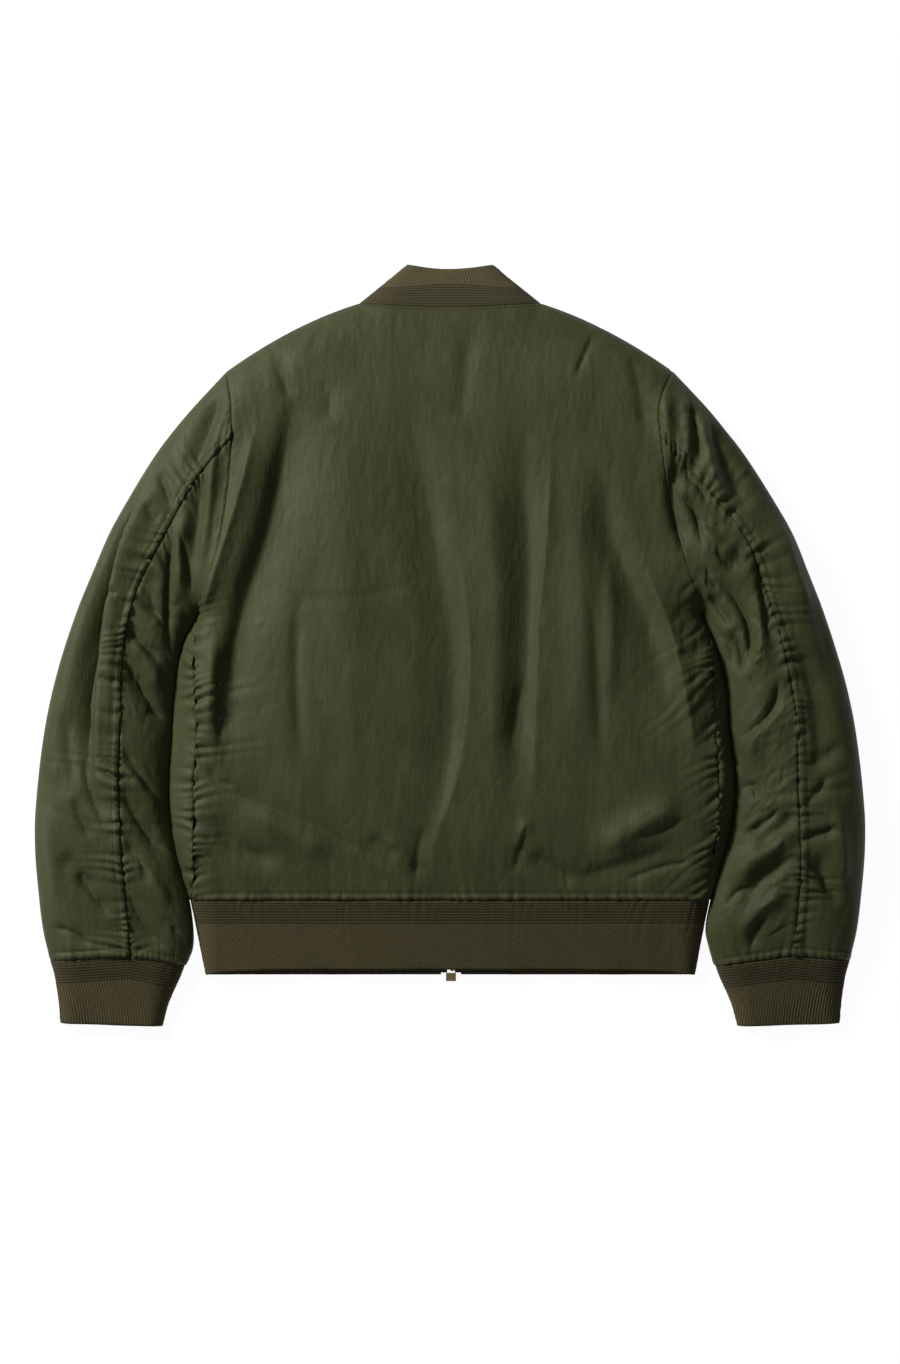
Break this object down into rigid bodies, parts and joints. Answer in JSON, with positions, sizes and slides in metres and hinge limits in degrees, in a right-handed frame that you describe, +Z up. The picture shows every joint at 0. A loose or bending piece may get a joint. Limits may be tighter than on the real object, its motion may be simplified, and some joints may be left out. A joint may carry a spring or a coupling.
{
  "type": "bomber jacket",
  "caption": "Zipped bomber jacket lying flat on its front, with rib knit collar, cuffs and hem, a gathered seam down the back of each sleeve and an open hollow for a wearer.",
  "frame": {"origin": "on the surface that the jacket lies on, at the middle of its bounding box", "axes": "+Z up from that surface towards the jacket's back, +Y from the hem to the collar, +X to the wearer's right"},
  "size_m": [0.8308, 0.7623, 0.0501],
  "materials": {
    "nylon": "washed nylon twill with a soft sheen",
    "rib_knit": "ribbed wool blend knit",
    "zip_tape": "woven zip tape",
    "brass": "aged brass"
  },
  "bodies": {
    "jacket": {"back": "nylon", "front_left_top": "nylon", "front_left_lower": "nylon", "front_right_top": "nylon", "front_right_lower": "nylon", "sleeve_outer_left_top": "nylon", "sleeve_outer_left_elbow": "nylon", "sleeve_outer_left_fore": "nylon", "sleeve_outer_right_top": "nylon", "sleeve_outer_right_elbow": "nylon", "sleeve_outer_right_fore": "nylon", "sleeve_under_left_top": "nylon", "sleeve_under_left_elbow": "nylon", "sleeve_under_left_fore": "nylon", "sleeve_under_right_top": "nylon", "sleeve_under_right_elbow": "nylon", "sleeve_under_right_fore": "nylon", "hem_block_left": "nylon", "hem_block_right": "nylon", "collar": "rib_knit", "cuff_left": "rib_knit", "cuff_right": "rib_knit", "hem_rib": "rib_knit", "zip_tape_left": "zip_tape", "zip_tape_right": "zip_tape", "zip_chain": "brass", "zip_box": "brass", "zip_slider": "brass"},
    "zip_pull": {"zip_pull": "brass"}
  },
  "joints": [
    {"name": "zip_pull_hinge", "type": "hinge", "parent": "jacket", "child": "zip_pull", "pos_m": [0.001, 0.2435, 0.00545], "axis": [1, 0, 0], "range_deg": [0, 162]}
  ]
}
